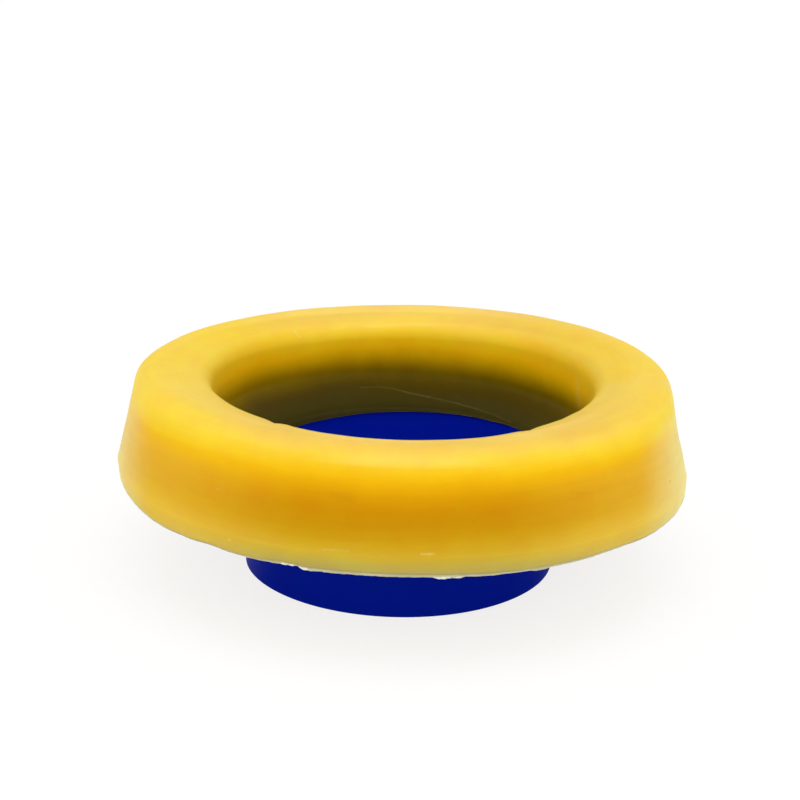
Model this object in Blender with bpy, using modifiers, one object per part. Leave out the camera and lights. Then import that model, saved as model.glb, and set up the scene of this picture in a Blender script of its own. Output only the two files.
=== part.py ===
"""Toilet pan seal: a soft wax ring, moulded round the flange of a plastic outlet horn.

It stands on the horn's rim, with the mouth up. Z is the axis that both pieces are turned about.
A section is a list of points, each a radius and a height, in the half plane at +X.
"""

import math

import bpy
from mathutils import Vector

# Overall sizes, in metres
OVERALL_HEIGHT = 0.045
WAX_HEIGHT = 0.023
WAX_DIAMETER = 0.125
HORN_DIAMETER = 0.070

# Outside of the wax ring
BAND_HEIGHT = 0.004
PARTING_STEP = 0.0003
SIDE_LEAN = math.radians(12)
SIDE_BULGE = 0.0003
SHOULDER_ROUND = 0.0046
UNDERSIDE_ROUND = 0.0008

# Mouth, bore and funnel of the wax ring
MOUTH_DIAMETER = 0.0848
MOUTH_DRAFT = 0.0005
CROWN_WIDTH = 0.0010
LIP_ROUND = 0.0030
LIP_FALL = math.radians(13)
FUNNEL_RISE = math.radians(33)
FUNNEL_ROUND = 0.0025
FUNNEL_SKIN = 0.0005

# Outlet horn, whose dished flange is buried in the wax
HORN_WALL = 0.0016
RIM_ROUND = 0.0004
BEND_RADIUS = 0.0015
FLANGE_DIAMETER = 0.100
FLANGE_RISE = math.radians(15)

# Gap that keeps the two solids apart, and how finely round shapes are drawn
CLEARANCE = 0.0003
TURN_STEPS = 72
MERGE_DISTANCE = 0.00001
SHARP_ANGLE = math.radians(32)

# Places that both pieces share: the horn starts to bend where it enters the wax
UNDERSIDE = OVERALL_HEIGHT - WAX_HEIGHT
HORN_RADIUS = HORN_DIAMETER / 2
BORE_RADIUS = HORN_RADIUS - HORN_WALL
BEND_CENTRE = Vector((HORN_RADIUS + BEND_RADIUS, UNDERSIDE))


def clear_scene():
    """Empties the open scene."""
    for thing in list(bpy.data.objects):
        bpy.data.objects.remove(thing, do_unlink=True)


def arc(centre, radius, start, end, steps):
    """Points on a round arc between two angles, with 0 outwards and a right angle upwards."""
    points = []
    for step in range(steps + 1):
        angle = start + (end - start) * step / steps
        points.append(centre + radius * Vector((math.cos(angle), math.sin(angle))))
    return points


def rounded(before, corner, after, radius, steps):
    """Points on the round that joins two straight runs at their corner."""
    back = (before - corner).normalized()
    ahead = (after - corner).normalized()
    half = back.angle(ahead) / 2
    reach = radius / math.tan(half)
    centre = corner + (back + ahead).normalized() * radius / math.sin(half)
    first = (corner + back * reach - centre).normalized()
    last = (corner + ahead * reach - centre).normalized()
    return [centre + radius * first.slerp(last, step / steps) for step in range(steps + 1)]


def bowed(start, end, rise, steps):
    """Points from start to end on a shallow curve that stands off to the left of its way by rise."""
    run = end - start
    left = Vector((-run.y, run.x)).normalized()
    points = []
    for step in range(steps + 1):
        share = step / steps
        points.append(start + run * share + left * 4 * rise * share * (1 - share))
    return points


def bend(offset, start, end, steps):
    """Points round the horn's bend between two angles, at an offset from its underside."""
    return arc(BEND_CENTRE, BEND_RADIUS + offset, start, end, steps)


def bend_end():
    """The angle at which the bend runs into the flange."""
    return math.radians(90) + FLANGE_RISE


def bore_angle(offset):
    """The angle at which a line at an offset round the bend crosses the bore's radius."""
    return math.acos((BORE_RADIUS - BEND_CENTRE.x) / (BEND_RADIUS + offset))


def on_flange(offset, radius):
    """The point at a radius on a line that follows the flange, at an offset from its underside."""
    height = BEND_CENTRE.y + (BEND_RADIUS + offset) / math.cos(FLANGE_RISE)
    return Vector((radius, height + (radius - BEND_CENTRE.x) * math.tan(FLANGE_RISE)))


def wax_shoulder():
    """The round between the flat crown and the leaning side, from the crown down."""
    foot = Vector((WAX_DIAMETER / 2 - PARTING_STEP, UNDERSIDE + BAND_HEIGHT))
    lean = (OVERALL_HEIGHT - foot.y) * math.tan(SIDE_LEAN)
    corner = Vector((foot.x - lean, OVERALL_HEIGHT))
    return rounded(Vector((0, OVERALL_HEIGHT)), corner, foot, SHOULDER_ROUND, 7)


def wax_outside():
    """From the crown, over the shoulder and down the side and the upright band, to the underside."""
    rim = WAX_DIAMETER / 2
    parting = UNDERSIDE + BAND_HEIGHT
    shoulder = wax_shoulder()
    side = bowed(shoulder[-1], Vector((rim - PARTING_STEP, parting)), SIDE_BULGE, 5)
    band_top = Vector((rim, parting - PARTING_STEP))
    foot = rounded(band_top, Vector((rim, UNDERSIDE)), Vector((0, UNDERSIDE)), UNDERSIDE_ROUND, 3)
    return shoulder + side[1:] + [band_top] + foot


def wax_slot():
    """The slot that the flange fills, from the underside round the flange's edge to the bore."""
    above = HORN_WALL + CLEARANCE
    edge = FLANGE_DIAMETER / 2 + CLEARANCE
    below_bend = bend(-CLEARANCE, math.radians(180), bend_end(), 4)
    over_bend = bend(above, bend_end(), bore_angle(above), 4)
    return below_bend + [on_flange(-CLEARANCE, edge), on_flange(above, edge)] + over_bend


def wax_inside():
    """From the bore, up the funnel and the mouth's wall, and over the sloping lip to the crown."""
    skin = HORN_WALL + CLEARANCE + FUNNEL_SKIN
    throat = bend(skin, bore_angle(skin), math.radians(90) + FUNNEL_RISE, 3)
    crown_edge = wax_shoulder()[0] - Vector((CROWN_WIDTH, 0))
    brim_radius = MOUTH_DIAMETER / 2
    fall = (crown_edge.x - brim_radius) * math.tan(LIP_FALL)
    brim = Vector((brim_radius, OVERALL_HEIGHT - fall))
    foot_radius = brim_radius - MOUTH_DRAFT
    rise = (foot_radius - throat[-1].x) * math.tan(FUNNEL_RISE)
    foot = Vector((foot_radius, throat[-1].y + rise))
    funnel = rounded(throat[-1], foot, brim, FUNNEL_ROUND, 4)
    lip = rounded(foot, brim, crown_edge, LIP_ROUND, 6)
    return throat + funnel + lip + [crown_edge]


def horn_section():
    """The horn's wall: down the outside of the bend and the tube, round the rim and up the bore."""
    edge = FLANGE_DIAMETER / 2
    flange = [on_flange(HORN_WALL, edge), on_flange(0, edge)]
    outside = bend(0, bend_end(), math.radians(180), 5)
    outer_corner = Vector((HORN_RADIUS, 0))
    inner_corner = Vector((BORE_RADIUS, 0))
    outer_rim = rounded(outside[-1], outer_corner, inner_corner, RIM_ROUND, 2)
    inside = bend(HORN_WALL, math.radians(180), bend_end(), 6)
    inner_rim = rounded(outer_corner, inner_corner, inside[0], RIM_ROUND, 2)
    return flange + outside + outer_rim + inner_rim + inside


def finish(name, colour, roughness):
    """A plain material."""
    material = bpy.data.materials.new(name)
    material.use_nodes = True
    shader = material.node_tree.nodes["Principled BSDF"]
    shader.inputs["Base Color"].default_value = (*colour, 1)
    shader.inputs["Roughness"].default_value = roughness
    shader.inputs["Metallic"].default_value = 0
    return material


def turned(name, section, material, collection):
    """A solid made by turning a closed section about Z."""
    outline = bpy.data.meshes.new(name + "_section")
    count = len(section)
    corners = [(point.x, 0, point.y) for point in section]
    edges = [(index, (index + 1) % count) for index in range(count)]
    outline.from_pydata(corners, edges, [])
    solid = bpy.data.objects.new(name, outline)
    collection.objects.link(solid)
    screw = solid.modifiers.new("turn", "SCREW")
    screw.angle = math.radians(360)
    screw.steps = TURN_STEPS
    screw.render_steps = TURN_STEPS
    screw.use_merge_vertices = True
    screw.merge_threshold = MERGE_DISTANCE
    depsgraph = bpy.context.evaluated_depsgraph_get()
    solid.data = bpy.data.meshes.new_from_object(solid.evaluated_get(depsgraph))
    solid.data.name = name
    solid.modifiers.clear()
    bpy.data.meshes.remove(outline)
    solid.data.shade_smooth()
    solid.data.set_sharp_from_angle(angle=SHARP_ANGLE)
    solid.data.materials.append(material)


def main():
    clear_scene()
    collection = bpy.data.collections.new("toilet_pan_seal")
    bpy.context.scene.collection.children.link(collection)
    wax = finish("yellow_wax", (0.87, 0.46, 0.035), 0.42)
    polyethylene = finish("blue_polyethylene", (0.002, 0.008, 0.17), 0.35)
    turned("wax_ring", wax_outside() + wax_slot() + wax_inside(), wax, collection)
    turned("outlet_horn", horn_section(), polyethylene, collection)


main()
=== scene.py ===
import math

import bpy
import numpy as np
from mathutils import Euler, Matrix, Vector, noise


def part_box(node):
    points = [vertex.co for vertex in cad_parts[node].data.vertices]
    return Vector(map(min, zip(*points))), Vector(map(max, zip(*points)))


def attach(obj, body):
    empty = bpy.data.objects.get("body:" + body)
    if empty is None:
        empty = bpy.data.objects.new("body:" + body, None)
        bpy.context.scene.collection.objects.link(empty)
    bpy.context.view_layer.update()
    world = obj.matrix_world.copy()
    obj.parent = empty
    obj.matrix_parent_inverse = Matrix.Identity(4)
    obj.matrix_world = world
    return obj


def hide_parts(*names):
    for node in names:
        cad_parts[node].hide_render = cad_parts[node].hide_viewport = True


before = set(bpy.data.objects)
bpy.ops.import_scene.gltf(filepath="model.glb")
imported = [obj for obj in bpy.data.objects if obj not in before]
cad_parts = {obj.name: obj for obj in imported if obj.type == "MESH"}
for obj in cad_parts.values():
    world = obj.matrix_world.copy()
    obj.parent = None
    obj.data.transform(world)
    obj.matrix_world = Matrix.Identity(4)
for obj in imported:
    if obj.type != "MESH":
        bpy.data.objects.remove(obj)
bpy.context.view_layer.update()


# Outlet horn. A sleeve of blue polyethylene that carries the waste down into the drain.
# It is injection moulded in one piece: a tube with a slight neck, whose top flares into a
# dished flange. The wax is cast round the flange.

MM = 0.001
horn_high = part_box("outlet_horn")[1]
wax_low, wax_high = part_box("wax_ring")
HORN_RADIUS = 35.0 * MM
NECK_DEPTH = 0.5 * MM
NECK_HEIGHT = 5 * MM
RIM_FLARE = 0.5 * MM
RIM_FLARE_HEIGHT = 12 * MM
OVAL = 0.05 * MM
THREE_SIDED = 0.03 * MM
HORN_WALL = 1.6 * MM
BORE_RADIUS = HORN_RADIUS - HORN_WALL
HORN_RIM_ROUND = 0.4 * MM
BEND_RADIUS = 1.5 * MM
FLANGE_RISE = math.radians(15)
FLANGE_END = 90 + math.degrees(FLANGE_RISE)
UNDERSIDE = wax_low.z
BEND_CENTRE = (HORN_RADIUS + BEND_RADIUS, UNDERSIDE)
HORN_COLUMNS = 360

# Places where the free end is pressed flatter, each with its azimuth in degrees and its depth, and
# how many degrees the flat reaches to either side
SLEEVE_FLATS = [(-88, 0.6 * MM), (88, 0.35 * MM)]
FLAT_REACH = 14

HORN_BLUE = (0.0, 0.0105, 0.385)
HORN_PALE_BLUE = (0.0, 0.014, 0.42)
HORN_ROUGHNESS = 0.5
HORN_IOR = 1.08
HORN_SKIN_DEPTH = 0.05 * MM


def arc(centre, radii, start, end, steps=8):
    """Points on a round or oval arc between two angles in degrees, with 0 outwards and 90 up."""
    angles = np.radians(np.linspace(start, end, steps + 1))
    return [(centre[0] + radii[0] * math.cos(a), centre[1] + radii[1] * math.sin(a)) for a in angles]


def bowed(start, end, rise, steps):
    """Points from start to end on a shallow curve that stands off to the left of its way by rise."""
    share = np.linspace(0, 1, steps + 1)[:, None]
    run = np.array(end) - np.array(start)
    left = np.array([-run[1], run[0]]) / np.hypot(*run)
    return [tuple(point) for point in start + run * share + left * 4 * rise * share * (1 - share)]


def round_bend(offset, start, end, steps=8):
    """Points round the horn's bend, at an offset from the bend's underside."""
    return arc(BEND_CENTRE, (BEND_RADIUS + offset, BEND_RADIUS + offset), start, end, steps)


def on_flange(offset, radius):
    """The point at a radius on a line that follows the flange, at an offset from its underside."""
    height = BEND_CENTRE[1] + (BEND_RADIUS + offset) / math.cos(FLANGE_RISE)
    return (radius, height + (radius - BEND_CENTRE[0]) * math.tan(FLANGE_RISE))


def join(*runs):
    """One closed section from runs of points, where each run's last point starts the next one."""
    return np.array([point for run in runs for point in run[:-1]])


def ring_mesh(name, radii, heights, azimuths):
    """A closed mesh from grids of radius and height, one row for each azimuth, with 0 to the front."""
    columns, rows = radii.shape
    turned = azimuths[:, None]
    points = np.stack([radii * np.sin(turned), -radii * np.cos(turned), heights], axis=-1)
    column, row = np.meshgrid(np.arange(columns), np.arange(rows), indexing="ij")
    next_column = (column + 1) % columns
    next_row = (row + 1) % rows
    corners = [column * rows + row, column * rows + next_row]
    corners += [next_column * rows + next_row, next_column * rows + row]
    faces = np.stack(corners, axis=-1).reshape(-1, 4)
    mesh = bpy.data.meshes.new(name)
    mesh.from_pydata(points.reshape(-1, 3).tolist(), [], faces.tolist())
    mesh.shade_smooth()
    piece = bpy.data.objects.new(name, mesh)
    bpy.context.scene.collection.objects.link(piece)
    return piece


def horn_section():
    """The wall in section: down the outside of the flange and the tube, and up the bore."""
    edge = horn_high.x
    rim = (HORN_RIM_ROUND, HORN_RIM_ROUND)
    top_edge, low_edge = on_flange(HORN_WALL, edge), on_flange(0, edge)
    outer_bend = round_bend(0, FLANGE_END, 180)
    inner_bend = round_bend(HORN_WALL, 180, FLANGE_END)
    outer_rim = arc((HORN_RADIUS - HORN_RIM_ROUND, HORN_RIM_ROUND), rim, 0, -90, 4)
    inner_rim = arc((BORE_RADIUS + HORN_RIM_ROUND, HORN_RIM_ROUND), rim, -90, -180, 4)
    return join(
        [top_edge, low_edge], bowed(low_edge, outer_bend[0], 0, 8), outer_bend,
        bowed(outer_bend[-1], outer_rim[0], 0, 24), outer_rim, [outer_rim[-1], inner_rim[0]],
        inner_rim, bowed(inner_rim[-1], inner_bend[0], 0, 24), inner_bend,
        bowed(inner_bend[-1], top_edge, 0, 8))


def make_horn():
    """The horn as moulded, very slightly out of round as soft plastic is."""
    section = horn_section()
    azimuths = np.linspace(0, 2 * math.pi, HORN_COLUMNS, endpoint=False)
    out_of_round = OVAL * np.cos(2 * azimuths + 0.6) + THREE_SIDED * np.cos(3 * azimuths - 1.1)
    for azimuth, depth in SLEEVE_FLATS:
        apart = (np.degrees(azimuths) - azimuth + 180) % 360 - 180
        out_of_round -= depth * np.exp(-(apart / FLAT_REACH) ** 2)
    free_end = np.clip(1 - section[:, 1] / UNDERSIDE, 0, 1)
    neck = NECK_DEPTH * np.clip((UNDERSIDE - section[:, 1]) / NECK_HEIGHT, 0, 1)
    flare = RIM_FLARE * np.clip(1 - section[:, 1] / RIM_FLARE_HEIGHT, 0, 1)
    radii = section[:, 0] - neck + flare + np.outer(out_of_round, free_end)
    heights = np.tile(section[:, 1], (HORN_COLUMNS, 1))
    return ring_mesh("horn_sleeve", radii, heights, azimuths)


def add(tree, kind, links=None, **values):
    """A shader node, with its named or numbered inputs linked or set, and its own settings."""
    made = tree.nodes.new(kind)
    for name, value in values.items():
        setattr(made, name, value)
    for socket, value in (links or {}).items():
        if isinstance(value, bpy.types.NodeSocket):
            tree.links.new(value, made.inputs[socket])
        else:
            made.inputs[socket].default_value = value
    return made


def maths(tree, operation, *values):
    """The result of one Math node."""
    return add(tree, "ShaderNodeMath", dict(enumerate(values)), operation=operation).outputs[0]


def stretch(tree, value, low, high, to_low=0.0, to_high=1.0):
    """A value moved smoothly from one range to another and held there."""
    links = {0: value, 1: low, 2: high, 3: to_low, 4: to_high}
    return add(tree, "ShaderNodeMapRange", links, interpolation_type="SMOOTHSTEP").outputs[0]


def mix_colours(tree, share, first, second, blend="MIX"):
    """Two colours mixed by a share."""
    links = {0: share, 6: first, 7: second}
    return add(tree, "ShaderNodeMix", links, data_type="RGBA", blend_type=blend).outputs[2]


def new_group(name, inputs, outputs):
    """A node group with its sockets, each given as a name, a kind and for an input its value."""
    group = bpy.data.node_groups.new(name, "ShaderNodeTree")
    for socket, kind, value in inputs:
        made = group.interface.new_socket(socket, in_out="INPUT", socket_type=kind)
        made.default_value = value
    for socket, kind in outputs:
        group.interface.new_socket(socket, in_out="OUTPUT", socket_type=kind)
    return group, group.nodes.new("NodeGroupInput").outputs, group.nodes.new("NodeGroupOutput").inputs


def make_grain_group():
    """Moulded grain: uneven patches, streaks that run round the piece or along it, and a fine skin."""
    group, given, result = new_group(
        "moulded_grain",
        [("Patch Scale", "NodeSocketFloat", 60.0), ("Around Scale", "NodeSocketFloat", 2.0),
         ("Across Scale", "NodeSocketFloat", 450.0), ("Skin Scale", "NodeSocketFloat", 1400.0)],
        [("Patches", "NodeSocketFloat"), ("Streaks", "NodeSocketFloat"), ("Skin", "NodeSocketFloat")],
    )
    place = group.nodes.new("ShaderNodeTexCoord").outputs["Object"]
    patches = add(group, "ShaderNodeTexNoise", {"Vector": place, "Scale": given["Patch Scale"],
                                                "Detail": 3.0, "Roughness": 0.55})
    parts = add(group, "ShaderNodeSeparateXYZ", {0: place})
    level = add(group, "ShaderNodeCombineXYZ", {0: parts.outputs[0], 1: parts.outputs[1]})
    radius = add(group, "ShaderNodeVectorMath", {0: level.outputs[0]}, operation="LENGTH")
    heading = add(group, "ShaderNodeVectorMath", {0: level.outputs[0]}, operation="NORMALIZE")
    around = add(group, "ShaderNodeVectorMath", {0: heading.outputs[0], "Scale": given["Around Scale"]},
                 operation="SCALE")
    across = maths(group, "SUBTRACT", parts.outputs[2], radius.outputs["Value"])
    across = maths(group, "MULTIPLY", across, given["Across Scale"])
    across = add(group, "ShaderNodeCombineXYZ", {2: across})
    flow = add(group, "ShaderNodeVectorMath", {0: around.outputs[0], 1: across.outputs[0]},
               operation="ADD")
    streaks = add(group, "ShaderNodeTexNoise", {"Vector": flow.outputs[0], "Scale": 1.0,
                                                "Detail": 4.0, "Roughness": 0.6})
    skin = add(group, "ShaderNodeTexNoise", {"Vector": place, "Scale": given["Skin Scale"],
                                             "Detail": 2.0, "Roughness": 0.5})
    group.links.new(patches.outputs["Fac"], result["Patches"])
    group.links.new(streaks.outputs["Fac"], result["Streaks"])
    group.links.new(skin.outputs["Fac"], result["Skin"])
    return group


def make_line_mask_group():
    """A mask that is 1 near the straight line between two places, with broken edges, for marks and
    painted highlights.
    """
    group, given, result = new_group(
        "line_mask",
        [("Start", "NodeSocketVector", (0, 0, 0)), ("End", "NodeSocketVector", (0, 0, 0)),
         ("Width", "NodeSocketFloat", 0.4 * MM), ("Break Up", "NodeSocketFloat", 0.6),
         ("Strength", "NodeSocketFloat", 1.0)],
        [("Mask", "NodeSocketFloat")],
    )
    place = group.nodes.new("ShaderNodeTexCoord").outputs["Object"]
    line = add(group, "ShaderNodeVectorMath", {0: given["End"], 1: given["Start"]}, operation="SUBTRACT")
    reach = add(group, "ShaderNodeVectorMath", {0: place, 1: given["Start"]}, operation="SUBTRACT")
    along = add(group, "ShaderNodeVectorMath", {0: reach.outputs[0], 1: line.outputs[0]},
                operation="DOT_PRODUCT")
    whole = add(group, "ShaderNodeVectorMath", {0: line.outputs[0], 1: line.outputs[0]},
                operation="DOT_PRODUCT")
    whole = maths(group, "MAXIMUM", whole.outputs["Value"], 1e-12)
    share = add(group, "ShaderNodeClamp", {0: maths(group, "DIVIDE", along.outputs["Value"], whole)})
    foot = add(group, "ShaderNodeVectorMath", {0: line.outputs[0], "Scale": share.outputs[0]},
               operation="SCALE")
    apart = add(group, "ShaderNodeVectorMath", {0: reach.outputs[0], 1: foot.outputs[0]},
                operation="DISTANCE")
    edge = add(group, "ShaderNodeTexNoise", {"Vector": place, "Scale": 1100.0, "Detail": 2.0})
    rough = maths(group, "SUBTRACT", edge.outputs["Fac"], 0.5)
    rough = maths(group, "MULTIPLY", rough, given["Break Up"])
    near = maths(group, "DIVIDE", apart.outputs["Value"], given["Width"])
    broken = maths(group, "ADD", near, maths(group, "MULTIPLY", rough, 2.0))
    mask = stretch(group, broken, 0.15, 1.0, 1.0, 0.0)
    group.links.new(maths(group, "MULTIPLY", mask, given["Strength"]), result["Mask"])
    return group


def new_material(name, roughness, ior):
    """A material with its tree, its shader and its constant roughness and refraction."""
    material = bpy.data.materials.new(name)
    material.use_nodes = True
    tree = material.node_tree
    shader = tree.nodes["Principled BSDF"]
    shader.inputs["Roughness"].default_value = roughness
    shader.inputs["IOR"].default_value = ior
    return material, tree, shader


def horn_material():
    """Dark blue polyethylene, smooth, with faint flow marks down the tube and a dull skin."""
    material, tree, shader = new_material("blue_polyethylene", HORN_ROUGHNESS, HORN_IOR)
    settings = {"Patch Scale": 90.0, "Around Scale": 30.0, "Across Scale": 60.0, "Skin Scale": 2400.0}
    grain = add(tree, "ShaderNodeGroup", node_tree=grain_group)
    for name, value in settings.items():
        grain.inputs[name].default_value = value
    flow = stretch(tree, grain.outputs["Streaks"], 0.5, 0.8, 0.0, 0.5)
    colour = mix_colours(tree, flow, (*HORN_BLUE, 1), (*HORN_PALE_BLUE, 1))
    tree.links.new(colour, shader.inputs["Base Color"])
    rough = stretch(tree, grain.outputs["Patches"], 0.3, 0.7,
                    HORN_ROUGHNESS - 0.06, HORN_ROUGHNESS + 0.08)
    tree.links.new(rough, shader.inputs["Roughness"])
    height = maths(tree, "ADD", grain.outputs["Skin"], grain.outputs["Streaks"])
    skin = add(tree, "ShaderNodeBump", {"Strength": 0.12, "Distance": HORN_SKIN_DEPTH, "Height": height})
    tree.links.new(skin.outputs[0], shader.inputs["Normal"])
    return material


grain_group = make_grain_group()
line_mask_group = make_line_mask_group()
horn = make_horn()
horn.data.materials.append(horn_material())
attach(horn, "root")
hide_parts("outlet_horn")


# Wax ring. Soft yellow petroleum wax, cast round the horn's flange in a two-part mould.
# The upright band below the parting line is the mould's lower half. The crown is a smooth
# round that the pan squashes. The wax is soft, so handling has pulled the ring out of true.

WAX_COLUMNS = 560
WAX_GAP = 0.04 * MM
BAND_HEIGHT = 4.0 * MM
PARTING = UNDERSIDE + BAND_HEIGHT
PARTING_STEP = 0.12 * MM
BAND_TAPER = 0.35 * MM
SIDE_LEAN = math.radians(12)
SIDE_BULGE = 0.3 * MM
SHOULDER_ROUND = 4.6 * MM
UNDERSIDE_ROUND = 1.0 * MM
MOUTH_RADIUS = 42.4 * MM
MOUTH_DRAFT = 0.5 * MM
CROWN_WIDTH = 1.0 * MM
LIP_ROUND = 4.2 * MM
LIP_FALL = math.radians(13)
LIP_BULGE = 0.35 * MM
FUNNEL_RISE = 33
FUNNEL_ROUND = 2.5 * MM
FUNNEL_SKIN = 0.5 * MM
THROAT_HEIGHT = 0.8 * MM
THROAT_LEAN = 1.0 * MM

# Unevenness in millimetres: a level, then the cosine's and sine's share of each wave round the ring
CROWN_RISE = (-0.15, (0.24, 0.23), (-0.75, -0.35))
FOOT_RISE = (-0.55, (-0.10, -1.15), (-0.24, 0.71))
OUTER_SPREAD = (-0.29, (0.41, 0.40), (0.40, 0.45), (-1.10, -0.06))
SHOULDER_SPREAD = (-0.30, (0.29, 0.0), (0.20, 0.0))
LIP_SPREAD = (-0.06, (0.15, 0.35), (0.46, -0.03))
LUMP_HEIGHT = 0.10 * MM
LUMP_SIZE = 11 * MM
STEP_DRIFT = 0.10 * MM
PARTING_DRIFT = 0.16 * MM
THROAT_DRIFT = 0.15 * MM

# Radii and heights on the even ring between which the pull on each region, and the dents, take hold
OUTER_RADII = (49 * MM, 57 * MM)
UNDERSIDE_RADII = (37 * MM, 47 * MM)
SHOULDER_HEIGHTS = (PARTING, PARTING + 8 * MM)
LIP_RADII = (52 * MM, 46 * MM)
LIP_HEIGHTS = (30 * MM, 36 * MM)
DENT_HEIGHTS = (27 * MM, 32 * MM)

# The middle of the ring's section, away from which lumps push the surface
HEART_RADIUS = 52 * MM
HEART_HEIGHT = 35 * MM

# Dents, each with its azimuth in degrees, its radius, height, width and depth in millimetres. A depth
# below 0 is a bulge.
DENTS = [
    # Nicks in the lip, left and right of the front
    (-33.6, 44.8, 43.0, 1.6, 0.42), (-32.6, 47.5, 44.0, 1.5, 0.25), (-29.8, 45.6, 43.3, 1.2, -0.12),
    (33.8, 44.8, 43.0, 1.5, 0.50), (33.0, 47.5, 44.0, 1.5, 0.25), (47.0, 45.5, 43.2, 1.6, 0.18),
    (57.0, 45.2, 43.1, 1.8, 0.15),
    # The front of the shoulder and of the side
    (2.0, 58.3, 43.0, 6.0, 0.06), (34.0, 60.6, 35.0, 1.4, 0.08),
    # The foot where its flash is torn, and the parting line
    (-21.6, 62.2, 22.2, 2.0, 0.30), (-18.9, 62.2, 22.1, 1.5, 0.20), (74.0, 62.2, 26.3, 2.5, 0.22),
    (58.0, 62.2, 26.4, 3.0, 0.15),
    # The far side
    (-95.0, 61.0, 33.0, 4.0, 0.20), (128.0, 60.8, 34.0, 5.0, 0.25), (-160.0, 62.0, 24.0, 3.0, 0.35),
    # The two flanks, pressed in by handling
    (80.0, 60.6, 36.5, 8.0, 0.85), (82.0, 61.6, 27.0, 5.0, 0.70), (-86.0, 61.0, 35.5, 8.0, 0.55),
    (-84.0, 61.6, 28.0, 4.5, 0.50), (-88.0, 59.3, 41.2, 6.0, -0.45),
    # The uneven foot
    (20.0, 61.9, 22.3, 13.0, -0.28), (-36.0, 62.0, 22.3, 3.5, 0.28), (41.0, 62.0, 22.3, 5.0, 0.15),
    (-50.0, 62.0, 22.3, 5.0, -0.10), (52.0, 62.0, 22.3, 5.0, -0.10),
]


def rounded(before, corner, after, radius, steps=8):
    """Points on the round that joins two straight runs at their corner."""
    corner = Vector(corner)
    back = (Vector(before) - corner).normalized()
    ahead = (Vector(after) - corner).normalized()
    half = back.angle(ahead) / 2
    reach = radius / math.tan(half)
    centre = corner + (back + ahead).normalized() * radius / math.sin(half)
    first = (corner + back * reach - centre).normalized()
    last = (corner + ahead * reach - centre).normalized()
    return [tuple(centre + radius * first.slerp(last, step / steps)) for step in range(steps + 1)]


def throat_angle(offset, height):
    """The angle round the bend at which the wax ends, at a height over the bend's centre."""
    return 180 - math.degrees(math.asin(height / (BEND_RADIUS + offset)))


def wax_section(step, parting_rise, throat_rise):
    """The ring in section: over the shoulder, down the side, round the flange, and up the bore."""
    top = wax_high.z
    rim = wax_high.x
    side_foot = (rim - step, PARTING + parting_rise)
    corner = (side_foot[0] - (top - side_foot[1]) * math.tan(SIDE_LEAN), top)
    shoulder = rounded((0, top), corner, side_foot, SHOULDER_ROUND, 16)
    band_top = (rim, side_foot[1] - PARTING_STEP)
    foot = rounded(band_top, (rim - BAND_TAPER, UNDERSIDE), (0, UNDERSIDE), UNDERSIDE_ROUND, 5)
    above = HORN_WALL + WAX_GAP
    edge = horn_high.x + WAX_GAP
    low_bend = round_bend(-WAX_GAP, 180, FLANGE_END, 5)
    low_edge, high_edge = on_flange(-WAX_GAP, edge), on_flange(above, edge)
    high_bend = round_bend(above, FLANGE_END, throat_angle(above, throat_rise), 8)
    skin = above + FUNNEL_SKIN
    throat = round_bend(skin, throat_angle(skin, throat_rise), 90 + FUNNEL_RISE, 8)
    crown_edge = (shoulder[0][0] - CROWN_WIDTH, top)
    brim = (MOUTH_RADIUS, top - (crown_edge[0] - MOUTH_RADIUS) * math.tan(LIP_FALL))
    foot_radius = MOUTH_RADIUS - MOUTH_DRAFT
    rise = (foot_radius - throat[-1][0]) * math.tan(math.radians(FUNNEL_RISE))
    funnel_top = (foot_radius, throat[-1][1] + rise)
    funnel = rounded(throat[-1], funnel_top, brim, FUNNEL_ROUND, 6)
    lip = rounded(funnel_top, brim, crown_edge, LIP_ROUND, 12)
    return join(
        shoulder, bowed(shoulder[-1], side_foot, SIDE_BULGE, 30), [side_foot, band_top],
        bowed(band_top, foot[0], 0, 7), foot, bowed(foot[-1], low_bend[0], 0, 12), low_bend,
        bowed(low_bend[-1], low_edge, 0, 3), [low_edge, high_edge], bowed(high_edge, high_bend[0], 0, 3),
        high_bend, [high_bend[-1], throat[0]], throat, bowed(throat[-1], funnel[0], 0, 10), funnel,
        bowed(funnel[-1], lip[0], 0, 12), lip, bowed(lip[-1], crown_edge, LIP_BULGE, 12),
        [crown_edge, shoulder[0]])


def waves(azimuths, shape):
    """A level and its waves round the ring, at each azimuth."""
    level, *orders = shape
    total = np.full_like(azimuths, level)
    for order, (cosine, sine) in enumerate(orders, 1):
        total += cosine * np.cos(order * azimuths) + sine * np.sin(order * azimuths)
    return total[:, None] * MM


def drift(azimuths, detail, seed):
    """Smooth random values between about -1 and 1 round the ring, with a number of lumps to a turn."""
    reach = detail / (2 * math.pi)
    places = [Vector((reach * math.cos(a), reach * math.sin(a), seed)) for a in azimuths]
    return np.array([noise.noise(place) for place in places])


def held(values, low, high):
    """Values as a share of the way from low to high, held between 0 and 1."""
    return np.clip((values - low) / (high - low), 0, 1)


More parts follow.
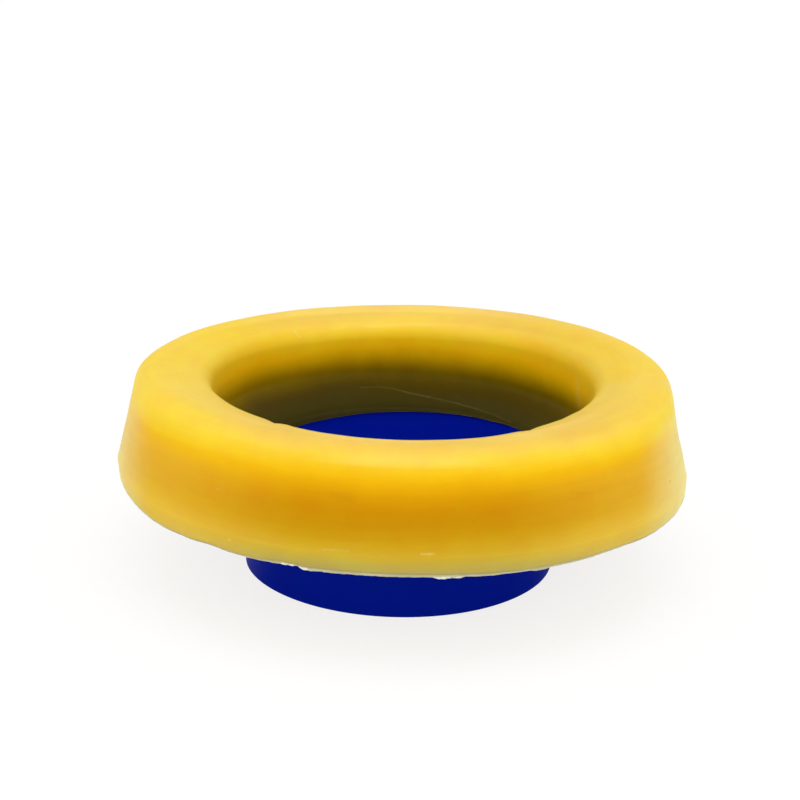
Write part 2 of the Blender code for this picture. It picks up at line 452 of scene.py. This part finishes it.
def out_of_true(radii, heights, azimuths):
    """Takes points of the even ring to where they lie on the pulled, lumpy and dented one."""
    upper = held(heights, PARTING, wax_high.z)
    outer = held(radii, *OUTER_RADII)
    clear_of_horn = held(radii, *UNDERSIDE_RADII)
    shoulder = held(heights, *SHOULDER_HEIGHTS) * outer
    lip = held(radii, *LIP_RADII) * held(heights, *LIP_HEIGHTS)
    moved_radii = radii + outer * waves(azimuths, OUTER_SPREAD)
    moved_radii += shoulder * waves(azimuths, SHOULDER_SPREAD) + lip * waves(azimuths, LIP_SPREAD)
    moved_heights = heights + upper * waves(azimuths, CROWN_RISE)
    moved_heights += (1 - upper) * clear_of_horn * waves(azimuths, FOOT_RISE)
    out_radius = radii - HEART_RADIUS
    out_height = heights - HEART_HEIGHT
    length = np.hypot(out_radius, out_height)
    turned = azimuths[:, None]
    points = np.stack([radii * np.sin(turned), -radii * np.cos(turned), heights], axis=-1)
    lumps = [noise.noise(Vector(point)) for point in (points / LUMP_SIZE).reshape(-1, 3)]
    push = LUMP_HEIGHT * np.array(lumps).reshape(radii.shape)
    for azimuth, radius, height, width, depth in DENTS:
        angle = math.radians(azimuth)
        centre = np.array([radius * math.sin(angle), -radius * math.cos(angle), height]) * MM
        apart = np.linalg.norm(points - centre, axis=-1) / (width * MM)
        push -= depth * MM * np.exp(-apart ** 2)
    push *= np.maximum(outer, held(heights, *DENT_HEIGHTS))
    return moved_radii + push * out_radius / length, moved_heights + push * out_height / length


def make_wax():
    """The cast ring, with an uneven parting line and the soft unevenness of handled wax."""
    azimuths = np.linspace(0, 2 * math.pi, WAX_COLUMNS, endpoint=False)
    steps = PARTING_STEP + STEP_DRIFT * drift(azimuths, 40, 1.5)
    partings = PARTING_DRIFT * drift(azimuths, 30, 4.5)
    throats = THROAT_HEIGHT + THROAT_LEAN * np.sin(azimuths) + THROAT_DRIFT * drift(azimuths, 36, 7.5)
    sections = np.array([wax_section(*shape) for shape in zip(steps, partings, throats)])
    radii, heights = out_of_true(sections[:, :, 0], sections[:, :, 1], azimuths)
    return ring_mesh("wax_seal", radii, heights, azimuths)


WAX_IOR = 1.12
WAX_ROUGHNESS = 0.42
SCATTER_SHARE = 0.4
SCATTER_REACH = 5 * MM
SCATTER_COLOURS = (1.0, 0.5, 0.12)
SHEEN = 0.15
SHEEN_ROUGHNESS = 0.25
WAX_SKIN_DEPTH = 0.06 * MM

# Colours by height in millimetres: outside from the foot to the crown, and inside from the throat up.
# Both carry painted light and shade. Outside it is lightest at the shoulder and darkest down the middle
# of the side, paler towards the foot as a painted reflection of the white floor, and olive-grey at the
# very foot as painted shade. Inside, painted shade darkens the lip's gold to dark olive in the throat.
SIDE_SHADE_COLOURS = [
    (21.5, (0.47, 0.41, 0.115)), (23.6, (0.64, 0.48, 0.050)), (25.6, (0.71, 0.45, 0.020)),
    (28.0, (0.645, 0.36, 0.003)), (31.0, (0.63, 0.295, 0.0)), (34.0, (0.67, 0.305, 0.0)),
    (36.3, (0.76, 0.38, 0.0)), (38.3, (0.90, 0.49, 0.001)), (40.5, (1.0, 0.62, 0.008)),
    (42.6, (1.0, 0.68, 0.045)), (43.9, (0.95, 0.63, 0.105)), (44.9, (0.86, 0.56, 0.085)),
]
BORE_SHADE_COLOURS = [
    (22.0, (0.040, 0.033, 0.0)), (25.0, (0.043, 0.034, 0.0)), (27.5, (0.058, 0.039, 0.0)),
    (29.3, (0.095, 0.061, 0.0)), (31.3, (0.24, 0.155, 0.0)), (33.3, (0.50, 0.295, 0.0)),
    (35.5, (0.82, 0.475, 0.001)), (37.3, (1.0, 0.60, 0.004)), (39.5, (1.0, 0.66, 0.016)),
    (41.5, (1.0, 0.67, 0.04)), (43.0, (0.88, 0.575, 0.06)), (44.2, (0.85, 0.555, 0.06)),
]
UNEVEN_HEIGHT = 2.2 * MM
BLOTCH_SCALE = 170.0
# The bore's painted shade starts lower towards its sides, as painted light there: the height it is read
# at is raised by this much for each length sideways
BORE_SIDE_LIFT = 0.018

# Tints over those colours. Each comes in from a first place, where there is none of it, to a second,
# where its share is whole: heights, radii, and ways sideways or back from the middle.
# Painted light in the bore: a deeper orange towards its sides, on the wall below the lip
BORE_SIDE_TINT = (1.0, 0.90, 0.60)
BORE_TINT_SIDEWAYS = (18 * MM, 38 * MM)
BORE_TINT_TOP = (42.5 * MM, 41 * MM)
BORE_TINT_FOOT = (33 * MM, 38 * MM)
THROAT_EDGE_COLOUR = (0.10, 0.09, 0.045)
THROAT_EDGE_SHARE = 0.20
THROAT_EDGE_RADII = (33.5 * MM, 33.2 * MM)
# Painted light on the outside: a lighter gold towards the flanks, a pale painted reflection along the
# flanks, more on the right, and a faint one at the foot towards the flanks
FLANK_GOLD = (0.95, 0.57, 0.035)
FLANK_GOLD_SHARE = 0.5
FLANK_GOLD_SIDEWAYS = (16 * MM, 52 * MM)
FLANK_GOLD_HEIGHTS = (40 * MM, 36 * MM)
FLANK_REFLECTION = (0.98, 0.91, 0.37)
FLANK_REFLECTION_SHARE = 0.72
FLANK_REFLECTION_SIDEWAYS = (47 * MM, 64 * MM)
FLANK_REFLECTION_HEIGHTS = (44 * MM, 40 * MM)
FOOT_REFLECTION_SHARE = 0.06
FOOT_REFLECTION_SIDEWAYS = (15 * MM, 45 * MM)
FOOT_REFLECTION_HEIGHTS = (30 * MM, 25.5 * MM)
SIDE_RADII = (49 * MM, 51 * MM)
UNDERSIDE_GOLD = (0.86, 0.62, 0.10)
UNDERSIDE_OUTER_RADII = (60.5 * MM, 58.5 * MM)
UNDERSIDE_INNER_RADII = (35.5 * MM, 36.5 * MM)
UNDERSIDE_HEIGHTS = (23.8 * MM, 23.5 * MM)
# Painted light on the crown: a lighter gold towards its left and right, most on the left, and a paler
# painted reflection over its far side
CROWN_HEIGHTS = (38.5 * MM, 42.5 * MM)
CROWN_GOLD = (1.0, 0.70, 0.035)
CROWN_GOLD_SHARE = 0.6
CROWN_GOLD_SIDEWAYS = (25 * MM, 52 * MM)
CROWN_REFLECTION = (1.0, 0.72, 0.42)
CROWN_REFLECTION_SHARE = 0.12
CROWN_REFLECTION_BACK = (25 * MM, 55 * MM)
PALE_WAX = (1.0, 0.88, 0.40)
# A painted highlight along the front of the shoulder
HIGHLIGHT_HEIGHT = 42.4 * MM
HIGHLIGHT_FALL = (0.2 * MM, 1.5 * MM)
HIGHLIGHT_SHARE = 0.15
HIGHLIGHT_SIDEWAYS = (6 * MM, 32 * MM)
HIGHLIGHT_FRONT = (-55 * MM, -58 * MM)
DARK_SPECK = (0.30, 0.17, 0.02)

# Marks of handling, and painted highlights along the far lip: start and end as azimuth in degrees with
# radius and height in millimetres, then the width in millimetres and the strength, which is below 0 for
# a dark mark
MARKS = [
    # A painted highlight along the far lip, a nick on its left and a smear down the right of the bore
    ((-158, 44.1, 42.45), (-168, 44.1, 42.45), 1.0, 0.05),
    ((-168, 44.1, 42.45), (179, 44.4, 42.65), 1.0, 0.11),
    ((179, 44.4, 42.65), (168, 44.8, 42.85), 1.0, 0.12),
    ((168, 44.8, 42.85), (158, 45.0, 42.95), 1.0, 0.05),
    ((-143.8, 44.3, 42.6), (-144.4, 43.0, 41.25), 0.6, 0.15),
    ((107.8, 42.3, 37.0), (105.2, 42.1, 33.3), 2.2, 0.05),
    # A long faint scratch round the far side of the funnel
    ((-165, 38.4, 27.6), (-172, 38.4, 27.6), 0.4, 0.02),
    ((-172, 38.4, 27.6), (-177, 37.9, 27.25), 0.4, 0.025),
    ((-177, 37.9, 27.25), (178.8, 37.0, 26.65), 0.4, 0.03),
    ((178.8, 37.0, 26.65), (169, 35.9, 25.95), 0.4, 0.04),
    ((169, 35.9, 25.95), (158, 35.1, 25.45), 0.4, 0.025),
    ((158, 35.1, 25.45), (148, 34.5, 25.05), 0.4, 0.03),
    ((148, 34.5, 25.05), (139, 34.1, 24.7), 0.4, 0.02),
    ((139, 34.1, 24.7), (130, 33.8, 24.4), 0.4, 0.02),
    # Pale and dark specks on the side
    ((-34.8, 60.9, 33.6), (-34.5, 60.9, 33.5), 0.45, 0.16),
    ((-31.5, 62.5, 25.0), (-31.2, 62.5, 24.9), 0.45, 0.16),
    ((13, 61.1, 32.4), (13.1, 61.1, 32.3), 0.35, -0.7),
    ((60.3, 61.5, 30.4), (60.4, 61.5, 30.3), 0.45, -0.7),
    # Scuffs along the parting line at the front, and dull smears above it
    ((-13, 62.1, 26.4), (-8.8, 62.1, 26.5), 0.42, 0.15),
    ((4, 62.1, 26.5), (6.2, 62.1, 26.5), 0.42, 0.30),
    ((31.8, 60.5, 35.4), (36.5, 60.7, 34.5), 0.3, -0.12),
    ((-12, 60.2, 36.5), (-8.2, 60.4, 35.9), 1.1, -0.07),
    # Scuffs along the parting line on the right
    ((74, 62.1, 26.5), (61.5, 62.1, 26.7), 0.4, 0.28),
    ((61.5, 62.1, 26.7), (55.8, 62.0, 27.3), 0.35, 0.28),
    # Scratches on the left and behind
    ((-78, 61.5, 31.0), (-70, 61.3, 32.0), 0.5, 0.12),
    ((150, 61.2, 32.0), (158, 61.0, 33.5), 0.5, 0.18),
    ((-120, 60.7, 35.0), (-116, 60.9, 33.8), 0.4, -0.2),
]

# Marks narrower than this, in millimetres, have the more broken edges
SOFT_MARK_WIDTH = 0.5
BROKEN_EDGE = 0.3
SOFT_EDGE = 0.12


def on_ring(azimuth, radius, height):
    """The place of a mark on the uneven ring, from its azimuth in degrees and its even place."""
    angle = np.radians([azimuth])
    radii, heights = out_of_true(np.array([[radius * MM]]), np.array([[height * MM]]), angle)
    return (radii[0, 0] * math.sin(angle[0]), -radii[0, 0] * math.cos(angle[0]), heights[0, 0])


def colours_by_height(tree, height, colours):
    """A ramp of colours against the height."""
    low, high = colours[0][0], colours[-1][0]
    share = add(tree, "ShaderNodeMapRange", {0: height, 1: low * MM, 2: high * MM}).outputs[0]
    made = add(tree, "ShaderNodeValToRGB", {0: share})
    ramp = made.color_ramp
    ramp.interpolation = "B_SPLINE"
    while len(ramp.elements) < len(colours):
        ramp.elements.new(0.5)
    for element, (level, colour) in zip(ramp.elements, colours):
        element.position = (level - low) / (high - low)
        element.color = (*colour, 1)
    return made.outputs["Color"]


def marks_by_sign(tree, sign):
    """One mask of all pale marks and painted highlights, for a sign of 1, or of all dark marks, for -1.
    """
    total = 0.0
    for start, end, width, strength in MARKS:
        if strength * sign > 0:
            mark = add(tree, "ShaderNodeGroup", node_tree=line_mask_group)
            mark.inputs["Start"].default_value = on_ring(*start)
            mark.inputs["End"].default_value = on_ring(*end)
            mark.inputs["Width"].default_value = width * MM
            broken = BROKEN_EDGE if width < SOFT_MARK_WIDTH else SOFT_EDGE
            mark.inputs["Break Up"].default_value = broken
            mark.inputs["Strength"].default_value = abs(strength)
            total = maths(tree, "MAXIMUM", total, mark.outputs["Mask"])
    return total


def bore_colour_and_shade(tree, height, sideways, radius):
    """Inside: gold at the lip, deeper and reaching lower at the sides as painted light, and darkened
    by painted shade to dark olive in the throat.
    """
    lifted = maths(tree, "MULTIPLY_ADD", sideways, BORE_SIDE_LIFT, height)
    bore = colours_by_height(tree, lifted, BORE_SHADE_COLOURS)
    tint = maths(tree, "MULTIPLY", stretch(tree, sideways, *BORE_TINT_SIDEWAYS),
                 stretch(tree, height, *BORE_TINT_TOP))
    tint = maths(tree, "MULTIPLY", tint, stretch(tree, height, *BORE_TINT_FOOT))
    bore = mix_colours(tree, tint, bore, (*BORE_SIDE_TINT, 1), "MULTIPLY")
    edge = stretch(tree, radius, *THROAT_EDGE_RADII, 0.0, THROAT_EDGE_SHARE)
    return mix_colours(tree, edge, bore, (*THROAT_EDGE_COLOUR, 1))


def side_colour_and_light(tree, height, sideways, parts, patches):
    """Outside: orange on the front of the side and gold towards its flanks, as painted shade and light,
    with a painted reflection along the flanks and a painted highlight on the front of the shoulder.
    """
    side = colours_by_height(tree, height, SIDE_SHADE_COLOURS)
    gold = maths(tree, "MULTIPLY", stretch(tree, sideways, *FLANK_GOLD_SIDEWAYS, 0.0, FLANK_GOLD_SHARE),
                 stretch(tree, height, *FLANK_GOLD_HEIGHTS))
    side = mix_colours(tree, gold, side, (*FLANK_GOLD, 1))
    foot = maths(tree, "MULTIPLY", stretch(tree, sideways, *FOOT_REFLECTION_SIDEWAYS, 0.0, FOOT_REFLECTION_SHARE),
                 stretch(tree, height, *FOOT_REFLECTION_HEIGHTS))
    side = mix_colours(tree, foot, side, (*FLANK_REFLECTION, 1))
    rightward = maths(tree, "MULTIPLY_ADD", parts[0], 0.03, sideways)
    reflection = stretch(tree, rightward, *FLANK_REFLECTION_SIDEWAYS, 0.0, FLANK_REFLECTION_SHARE)
    reflection = maths(tree, "MULTIPLY", reflection, stretch(tree, patches, 0.25, 0.6, 0.8, 1.0))
    reflection = maths(tree, "MULTIPLY", reflection, stretch(tree, height, *FLANK_REFLECTION_HEIGHTS))
    side = mix_colours(tree, reflection, side, (*FLANK_REFLECTION, 1))
    off_highlight = maths(tree, "ABSOLUTE", maths(tree, "SUBTRACT", parts[2], HIGHLIGHT_HEIGHT))
    highlight = stretch(tree, off_highlight, *HIGHLIGHT_FALL, 1.0, 0.0)
    highlight = maths(tree, "MULTIPLY", highlight, stretch(tree, sideways, *HIGHLIGHT_SIDEWAYS, HIGHLIGHT_SHARE, 0.0))
    highlight = maths(tree, "MULTIPLY", highlight, stretch(tree, parts[1], *HIGHLIGHT_FRONT))
    return mix_colours(tree, highlight, side, (*PALE_WAX, 1))


def wax_colour(tree, parts, patches):
    """The whole ring: its inside, its outside and its underside, and over the crown a lighter gold to
    the sides as painted light and a paler painted reflection at the back.
    """
    uneven = maths(tree, "SUBTRACT", patches, 0.5)
    height = maths(tree, "MULTIPLY_ADD", uneven, UNEVEN_HEIGHT, parts[2])
    sideways = maths(tree, "ABSOLUTE", parts[0])
    level = add(tree, "ShaderNodeCombineXYZ", {0: parts[0], 1: parts[1]})
    radius = add(tree, "ShaderNodeVectorMath", {0: level.outputs[0]}, operation="LENGTH")
    radius = radius.outputs["Value"]
    bore = bore_colour_and_shade(tree, height, sideways, radius)
    side = side_colour_and_light(tree, height, sideways, parts, patches)
    colour = mix_colours(tree, stretch(tree, radius, *SIDE_RADII), bore, side)
    beneath = maths(tree, "MULTIPLY", stretch(tree, radius, *UNDERSIDE_OUTER_RADII),
                    stretch(tree, parts[2], *UNDERSIDE_HEIGHTS))
    beneath = maths(tree, "MULTIPLY", beneath, stretch(tree, radius, *UNDERSIDE_INNER_RADII))
    colour = mix_colours(tree, beneath, colour, (*UNDERSIDE_GOLD, 1))
    crown = stretch(tree, height, *CROWN_HEIGHTS)
    leftward = maths(tree, "MULTIPLY_ADD", parts[0], -0.15, sideways)
    gold = stretch(tree, leftward, *CROWN_GOLD_SIDEWAYS, 0.0, CROWN_GOLD_SHARE)
    colour = mix_colours(tree, maths(tree, "MULTIPLY", gold, crown), colour, (*CROWN_GOLD, 1))
    far = stretch(tree, parts[1], *CROWN_REFLECTION_BACK, 0.0, CROWN_REFLECTION_SHARE)
    return mix_colours(tree, maths(tree, "MULTIPLY", far, crown), colour, (*CROWN_REFLECTION, 1))


def wax_material():
    """Warm yellow wax: satin and a little translucent, unevenly coloured, with painted light and shade,
    marks of handling and painted highlights.
    """
    material, tree, shader = new_material("yellow_wax", WAX_ROUGHNESS, WAX_IOR)
    place = tree.nodes.new("ShaderNodeTexCoord").outputs["Object"]
    parts = add(tree, "ShaderNodeSeparateXYZ", {0: place}).outputs
    grain = add(tree, "ShaderNodeGroup", node_tree=grain_group)
    colour = wax_colour(tree, parts, grain.outputs["Patches"])
    streaks = stretch(tree, grain.outputs["Streaks"], 0.3, 0.7, 0.98, 1.015)
    blotches = add(tree, "ShaderNodeTexNoise", {"Vector": place, "Scale": BLOTCH_SCALE, "Detail": 3.0})
    greener = stretch(tree, blotches.outputs["Fac"], 0.35, 0.65, 0.97, 1.02)
    greener = maths(tree, "MULTIPLY", streaks, greener)
    shade = add(tree, "ShaderNodeCombineColor", {0: streaks, 1: greener, 2: streaks}).outputs[0]
    colour = mix_colours(tree, 1.0, colour, shade, "MULTIPLY")
    # Pale marks together with the painted highlights along the far lip
    pale = marks_by_sign(tree, 1)
    dark = marks_by_sign(tree, -1)
    colour = mix_colours(tree, pale, colour, (*PALE_WAX, 1))
    colour = mix_colours(tree, dark, colour, (*DARK_SPECK, 1))
    tree.links.new(colour, shader.inputs["Base Color"])
    rough = stretch(tree, grain.outputs["Patches"], 0.3, 0.7,
                    WAX_ROUGHNESS - 0.08, WAX_ROUGHNESS + 0.10)
    tree.links.new(rough, shader.inputs["Roughness"])
    relief = maths(tree, "MULTIPLY_ADD", grain.outputs["Streaks"], 1.6, grain.outputs["Skin"])
    relief = maths(tree, "MULTIPLY_ADD", pale, 0.8, relief)
    relief = maths(tree, "MULTIPLY_ADD", dark, -1.2, relief)
    skin = add(tree, "ShaderNodeBump", {"Strength": 0.25, "Distance": WAX_SKIN_DEPTH, "Height": relief})
    tree.links.new(skin.outputs[0], shader.inputs["Normal"])
    shader.inputs["Subsurface Weight"].default_value = SCATTER_SHARE
    shader.inputs["Subsurface Radius"].default_value = SCATTER_COLOURS
    shader.inputs["Subsurface Scale"].default_value = SCATTER_REACH
    shader.inputs["Sheen Weight"].default_value = SHEEN
    shader.inputs["Sheen Roughness"].default_value = SHEEN_ROUGHNESS
    shader.inputs["Sheen Tint"].default_value = (*PALE_WAX, 1)
    return material


wax = make_wax()
wax.data.materials.append(wax_material())
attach(wax, "root")
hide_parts("wax_ring")


# Flash. A thin ragged skirt of wax that was squeezed out between the mould's lower half and
# its base plate. It hangs from the foot of the band, longest at the front, and is broken away
# on the left of it.

FLASH_COLUMNS = 1800
FLASH_RADIUS = 61.75 * MM
FLASH_ROOT = 0.4 * MM
FLASH_SWAY = 0.07 * MM
FLASH_IOR = 1.3
FLASH_SCATTER_REACH = 1 * MM
FLASH_SCATTER_COLOURS = (1.0, 0.7, 0.4)
FLASH_DULL = (0.56, 0.52, 0.31)
FLASH_WHITE = (0.97, 0.95, 0.80)

# Torn lengths of flash: from one azimuth to another in degrees, and the torn edge's height, which
# is in millimetres, as is its radius
FLASH_TORN = [
    (-20.8, -20.1, 21.7), (-19.6, -18.6, 21.65), (-17.6, -16.2, 21.55), (6.4, 8.8, 21.3),
    (9.8, 11.3, 21.3), (-100, -96, 21.8), (118, 127, 21.7),
]
TORN_RADIUS = 61.8
TORN_WIDTH = 0.65 * MM

# Lengths of flash: from one azimuth to another in degrees, and how far it hangs in millimetres.
# Where lengths overlap, they add up. The ends taper over degrees, and the whole skirt is drawn up
# by a few hundredths of a millimetre, which hides it where no length hangs.
FLASH_LENGTHS = [
    (-180, -150, 0.25), (-128, -92, 0.15), (-64, -46, 0.10), (-31, -28, 0.06), (-23.2, -18.6, 0.20),
    (-20.9, -20.2, 0.16), (-19.6, -18.9, 0.14), (-17.6, 27, 0.24), (-17.6, 18, 0.13), (-17.6, 9, 0.08),
    (-17.6, -15.2, 0.12), (6.3, 8.4, 0.36), (8.4, 10.0, 0.26), (10.0, 11.3, 0.38), (62, 88, 0.12),
    (104, 131, 0.30), (-28.5, -20.9, 0.14), (24, 37, 0.26), (37, 44, 0.12),
]
END_TAPER = 0.4
DRAWN_UP = 0.03


def flash_drop(azimuths):
    """How far the flash hangs below the foot at each azimuth."""
    degrees = (np.degrees(azimuths) + 180) % 360 - 180
    drop = np.zeros_like(azimuths)
    for start, end, hang in FLASH_LENGTHS:
        begun = held(degrees, start - END_TAPER, start + END_TAPER)
        drop += hang * begun * held(degrees, end + END_TAPER, end - END_TAPER)
    ragged = 0.97 + 0.16 * drift(azimuths, 500, 2.5) + 0.16 * drift(azimuths, 1700, 5.5)
    return (drop * ragged - DRAWN_UP) * MM


def make_flash():
    """The skirt as one thin ring, whose root lies inside the wax."""
    azimuths = np.linspace(0, 2 * math.pi, FLASH_COLUMNS, endpoint=False)
    drop = flash_drop(azimuths)[:, None]
    sway = (FLASH_SWAY * drift(azimuths, 300, 8.5))[:, None]
    root = UNDERSIDE + FLASH_ROOT + 0 * drop
    outward = np.array([-0.05, 0.12, 0.10, 0.0, -0.14, -0.22, -0.40]) * MM
    radii = FLASH_RADIUS + outward + sway
    hanging = [UNDERSIDE - share * drop for share in (0.4, 0.85, 1.0, 0.9, 0.4)]
    heights = np.hstack([root, *hanging, root])
    radii, heights = out_of_true(radii, heights, azimuths)
    return ring_mesh("wax_flash", radii, heights, azimuths)


def flash_material():
    """The same wax: dull where the thin skirt is whole, and whitish where it is torn."""
    material, tree, shader = new_material("thin_wax", WAX_ROUGHNESS, FLASH_IOR)
    grain = add(tree, "ShaderNodeGroup", node_tree=grain_group)
    grain.inputs["Patch Scale"].default_value = 500.0
    share = stretch(tree, grain.outputs["Patches"], 0.45, 0.75, 0.0, 0.2)
    for start, end, height in FLASH_TORN:
        torn = add(tree, "ShaderNodeGroup", node_tree=line_mask_group)
        torn.inputs["Start"].default_value = on_ring(start, TORN_RADIUS, height)
        torn.inputs["End"].default_value = on_ring(end, TORN_RADIUS, height)
        torn.inputs["Width"].default_value = TORN_WIDTH
        share = maths(tree, "MAXIMUM", share, torn.outputs["Mask"])
    colour = mix_colours(tree, share, (*FLASH_DULL, 1), (*FLASH_WHITE, 1))
    tree.links.new(colour, shader.inputs["Base Color"])
    shader.inputs["Subsurface Weight"].default_value = SCATTER_SHARE
    shader.inputs["Subsurface Radius"].default_value = FLASH_SCATTER_COLOURS
    shader.inputs["Subsurface Scale"].default_value = FLASH_SCATTER_REACH
    return material


flash = make_flash()
flash.data.materials.append(flash_material())
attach(flash, "root")


# Studio floor. A plain white sheet that the seal stands on, wide enough to fill the view.
# It is matt, and it carries the soft shadow of the ring, which the camera sees lightened.

FLOOR_HALF = 6.0
FLOOR_COLOUR = 0.93
FLOOR_SEEN_COLOUR = 0.24
FLOOR_GLOW = 0.79
FLOOR_ROUGHNESS = 0.9
FLOOR_IOR = 1.3


def seen_directly(tree):
    """A share that is 1 where the camera, a gloss or a clear piece looks at the surface."""
    path = tree.nodes.new("ShaderNodeLightPath").outputs
    seen = maths(tree, "MAXIMUM", path["Is Camera Ray"], path["Is Glossy Ray"])
    return maths(tree, "MAXIMUM", seen, path["Is Transmission Ray"])


def make_floor():
    """The white sheet, lifted towards white where the camera or a gloss sees it."""
    bpy.ops.mesh.primitive_plane_add(size=2 * FLOOR_HALF, location=(0, 0, 0))
    floor = bpy.context.object
    floor.name = "studio_floor"
    material, tree, shader = new_material("white_sheet", FLOOR_ROUGHNESS, FLOOR_IOR)
    seen = seen_directly(tree)
    colour = add(tree, "ShaderNodeMapRange", {0: seen, 3: FLOOR_COLOUR, 4: FLOOR_SEEN_COLOUR}).outputs[0]
    grey = add(tree, "ShaderNodeCombineColor", {0: colour, 1: colour, 2: colour}).outputs[0]
    tree.links.new(grey, shader.inputs["Base Color"])
    shader.inputs["Specular IOR Level"].default_value = 0.0
    shader.inputs["Emission Color"].default_value = (1, 1, 1, 1)
    tree.links.new(maths(tree, "MULTIPLY", seen, FLOOR_GLOW), shader.inputs["Emission Strength"])
    floor.data.materials.append(material)


make_floor()


# Studio light. A round softbox overhead, a very broad one on each side and one in front, the
# white floor's bounce and an even fill. Beyond the floor the backdrop is white.

OVERHEAD_STRENGTH = 0.45
OVERHEAD_SPREAD = math.radians(60)
SIDE_STRENGTH = 0.75
SIDE_SPREAD = math.radians(100)
SIDE_TILT = math.radians(50)
SIDE_HEADING = math.radians(75)
FRONT_STRENGTH = 0.7
FRONT_TILT = math.radians(50)
FILL = 0.40


def add_lamp(name, strength, spread, tilt, heading):
    """A distant soft lamp, tilted from overhead towards a heading, which is 0 to the front."""
    lamp = bpy.data.lights.new(name, "SUN")
    lamp.energy = strength
    lamp.angle = spread
    holder = bpy.data.objects.new(name, lamp)
    holder.rotation_euler = (tilt, 0, heading)
    bpy.context.scene.collection.objects.link(holder)


def make_world():
    """An even fill, and a white backdrop where it is seen directly."""
    world = bpy.data.worlds.new("white_backdrop")
    bpy.context.scene.world = world
    world.use_nodes = True
    tree = world.node_tree
    sky = tree.nodes["Background"]
    sky.inputs["Color"].default_value = (1, 1, 1, 1)
    strength = add(tree, "ShaderNodeMapRange", {0: seen_directly(tree), 3: FILL, 4: 1.0})
    tree.links.new(strength.outputs[0], sky.inputs["Strength"])


add_lamp("overhead_softbox", OVERHEAD_STRENGTH, OVERHEAD_SPREAD, 0, 0)
add_lamp("left_softbox", SIDE_STRENGTH, SIDE_SPREAD, SIDE_TILT, -SIDE_HEADING)
add_lamp("right_softbox", SIDE_STRENGTH, SIDE_SPREAD, SIDE_TILT, SIDE_HEADING)
add_lamp("front_softbox", FRONT_STRENGTH, SIDE_SPREAD, FRONT_TILT, 0)
make_world()


# Camera. It looks at the seal from the front and a little above, as the photograph does, through
# a fairly long lens, and with a slight roll.

CAMERA_DISTANCE = 350 * MM
CAMERA_RISE = math.radians(17.45)
CAMERA_ROLL = math.radians(1.20)
CAMERA_TARGET = Vector((-0.30 * MM, 0, 36.1 * MM))
CAMERA_LENS = 71.43
SENSOR_WIDTH = 36
CLIP_START = 0.01
CLIP_END = 50


def make_camera():
    """The camera, level but for a slight roll."""
    data = bpy.data.cameras.new("camera")
    data.lens = CAMERA_LENS
    data.sensor_width = SENSOR_WIDTH
    data.clip_start = CLIP_START
    data.clip_end = CLIP_END
    camera = bpy.data.objects.new("camera", data)
    bpy.context.scene.collection.objects.link(camera)
    back = Vector((0, -math.cos(CAMERA_RISE), math.sin(CAMERA_RISE)))
    camera.location = CAMERA_TARGET + back * CAMERA_DISTANCE
    upright = Euler((math.radians(90) - CAMERA_RISE, 0, 0)).to_matrix()
    roll = Euler((0, 0, CAMERA_ROLL)).to_matrix()
    camera.rotation_euler = (upright @ roll).to_euler()
    bpy.context.scene.camera = camera


make_camera()
bpy.context.scene.view_settings.view_transform = "Standard"
